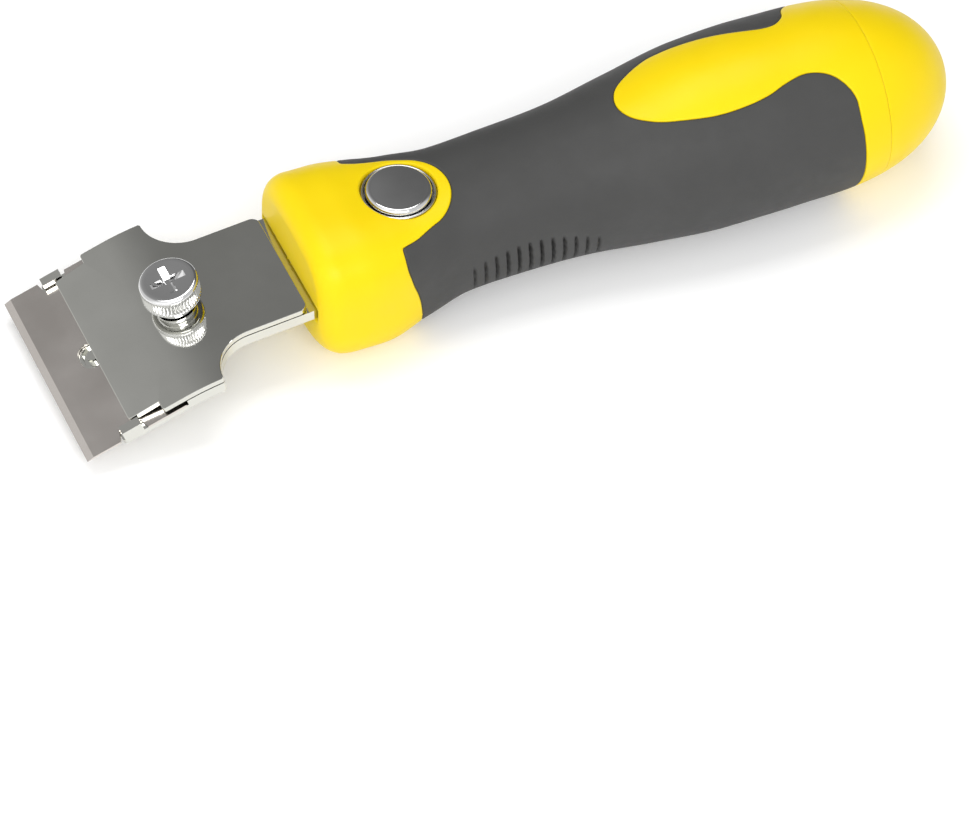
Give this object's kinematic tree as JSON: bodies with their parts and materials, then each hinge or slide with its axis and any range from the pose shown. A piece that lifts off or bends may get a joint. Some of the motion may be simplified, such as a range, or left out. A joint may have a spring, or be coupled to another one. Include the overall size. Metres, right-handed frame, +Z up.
{
  "type": "razor scraper",
  "caption": "Razor scraper with a bent steel clamp head, a knurled clamp screw, a two-tone handle with a release button, and a pull-out tail tray for spare blades.",
  "frame": {"origin": "middle of the bounding box's base, on the plane the tool lies on", "axes": "+X from the cutting edge to the tail, +Z up through the release button, +Y across the blade"},
  "size_m": [0.1664, 0.039, 0.0337],
  "materials": {
    "yellow_plastic": "satin moulded bright yellow",
    "grip_rubber": "matt dark grey soft overmould",
    "polished_steel": "polished plate",
    "ground_steel": "fine ground",
    "chrome": "bright",
    "spring_steel": "drawn wire and pressed steel",
    "blade_plastic": "satin orange-yellow",
    "tray_plastic": "satin black"
  },
  "bodies": {
    "handle": {"handle_core": "yellow_plastic", "soft_grip": "grip_rubber", "blade_carrier": "polished_steel", "scraper_blade": "ground_steel", "blade_locating_pin": "polished_steel", "clinch_nut": "polished_steel", "button_sleeve": "spring_steel", "button_spring": "spring_steel"},
    "clamp": {"clamp_plate": "polished_steel"},
    "screw": {"thumb_screw": "chrome", "screw_retainer": "spring_steel"},
    "button": {"release_button": "chrome", "lock_stem": "polished_steel"},
    "tail": {"tail_cap": "yellow_plastic", "blade_tray": "tray_plastic", "tray_pin": "spring_steel", "plastic_blade_1": "blade_plastic", "plastic_blade_2": "blade_plastic", "steel_blade_1": "ground_steel", "steel_blade_2": "ground_steel", "steel_blade_3": "ground_steel", "steel_blade_4": "ground_steel", "spare_razor": "ground_steel", "razor_spine": "ground_steel"}
  },
  "joints": [
    {"name": "clamp_lift", "type": "slide", "parent": "handle", "child": "clamp", "axis": [-0.1913, 0, 0.9815], "range_m": [0, 0.0014]},
    {"name": "screw_turn", "type": "hinge", "parent": "clamp", "child": "screw", "pos_m": [-0.05967, 0, 0.01336], "axis": [-0.1913, 0, 0.9815], "range_deg": [0, 720]},
    {"name": "button_press", "type": "slide", "parent": "handle", "child": "button", "axis": [0, 0, -1], "range_m": [0, 0.0019], "stiffness_N_per_m": 1500, "springref_m": -0.001, "deforming": ["button_spring"]},
    {"name": "tail_pull", "type": "slide", "parent": "handle", "child": "tail", "axis": [1, 0, 0], "range_m": [0, 0.046]}
  ],
  "couplings": [
    {"joint": "screw_turn", "follows": "clamp_lift", "rad_per_m": 8975.9}
  ]
}
